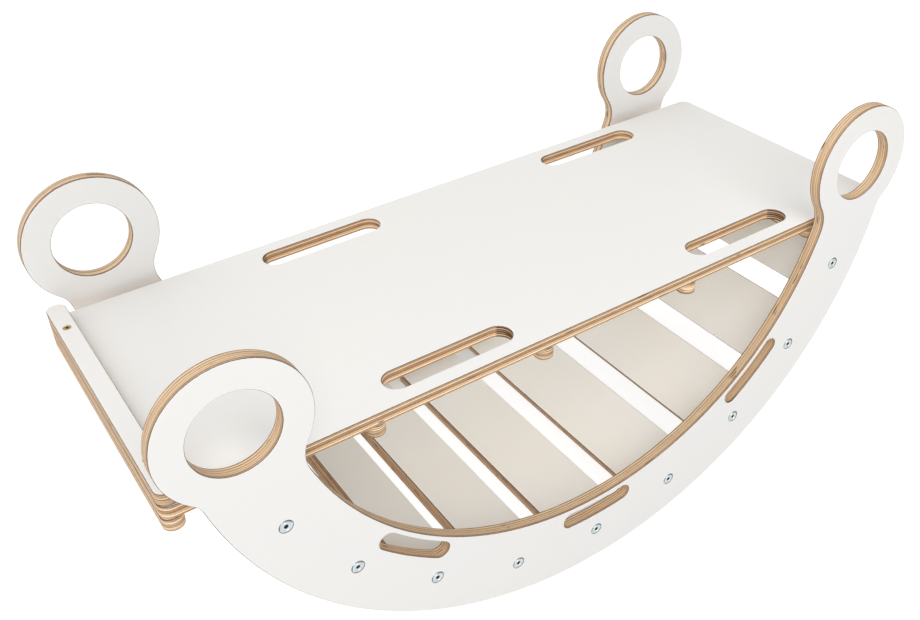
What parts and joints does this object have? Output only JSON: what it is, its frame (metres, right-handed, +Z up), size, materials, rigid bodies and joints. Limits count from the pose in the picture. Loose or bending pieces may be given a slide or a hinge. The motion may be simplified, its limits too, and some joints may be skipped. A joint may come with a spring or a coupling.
{
  "type": "rocker seesaw with play board",
  "caption": "Child's wooden rocker: two crescent side panels with ring handles, joined by curved rows of slats, with a lift-out slotted play board across the top.",
  "frame": {"origin": "on the floor midway between the two side panels, under the lowest point of their arcs", "axes": "+X along the rocker towards the end without the batten, +Y from the front panel to the back panel, +Z up"},
  "size_m": [0.9539, 0.415, 0.4859],
  "materials": {
    "white_faced_birch_ply": "white laminate faces, sanded and lacquered raw ply edges",
    "zinc_steel": "bright zinc plate",
    "brass_plated_steel": "brass plate"
  },
  "bodies": {
    "rocker": {"side_panel_front": "white_faced_birch_ply", "side_panel_back": "white_faced_birch_ply", "slat_1": "white_faced_birch_ply", "slat_2": "white_faced_birch_ply", "slat_3": "white_faced_birch_ply", "slat_4": "white_faced_birch_ply", "slat_5": "white_faced_birch_ply", "slat_6": "white_faced_birch_ply", "slat_7": "white_faced_birch_ply", "slat_8": "white_faced_birch_ply", "slat_9": "white_faced_birch_ply", "connector_bolt_front_1": "zinc_steel", "barrel_nut_front_1": "zinc_steel", "connector_bolt_front_2": "zinc_steel", "barrel_nut_front_2": "zinc_steel", "connector_bolt_front_3": "zinc_steel", "barrel_nut_front_3": "zinc_steel", "connector_bolt_front_4": "zinc_steel", "barrel_nut_front_4": "zinc_steel", "connector_bolt_front_5": "zinc_steel", "barrel_nut_front_5": "zinc_steel", "connector_bolt_front_6": "zinc_steel", "barrel_nut_front_6": "zinc_steel", "connector_bolt_front_7": "zinc_steel", "barrel_nut_front_7": "zinc_steel", "connector_bolt_front_8": "zinc_steel", "barrel_nut_front_8": "zinc_steel", "connector_bolt_front_9": "zinc_steel", "barrel_nut_front_9": "zinc_steel", "connector_bolt_back_1": "zinc_steel", "barrel_nut_back_1": "zinc_steel", "connector_bolt_back_2": "zinc_steel", "barrel_nut_back_2": "zinc_steel", "connector_bolt_back_3": "zinc_steel", "barrel_nut_back_3": "zinc_steel", "connector_bolt_back_4": "zinc_steel", "barrel_nut_back_4": "zinc_steel", "connector_bolt_back_5": "zinc_steel", "barrel_nut_back_5": "zinc_steel", "connector_bolt_back_6": "zinc_steel", "barrel_nut_back_6": "zinc_steel", "connector_bolt_back_7": "zinc_steel", "barrel_nut_back_7": "zinc_steel", "connector_bolt_back_8": "zinc_steel", "barrel_nut_back_8": "zinc_steel", "connector_bolt_back_9": "zinc_steel", "barrel_nut_back_9": "zinc_steel"},
    "board": {"play_board": "white_faced_birch_ply", "end_batten": "white_faced_birch_ply", "board_rung_1": "white_faced_birch_ply", "board_rung_2": "white_faced_birch_ply", "board_rung_3": "white_faced_birch_ply", "board_rung_4": "white_faced_birch_ply", "board_rung_5": "white_faced_birch_ply", "batten_screw_front": "brass_plated_steel", "batten_screw_back": "brass_plated_steel"}
  },
  "joints": [
    {"name": "board_lift", "type": "slide", "parent": "rocker", "child": "board", "axis": [0, 0, 1], "range_m": [0, 0.2]}
  ]
}
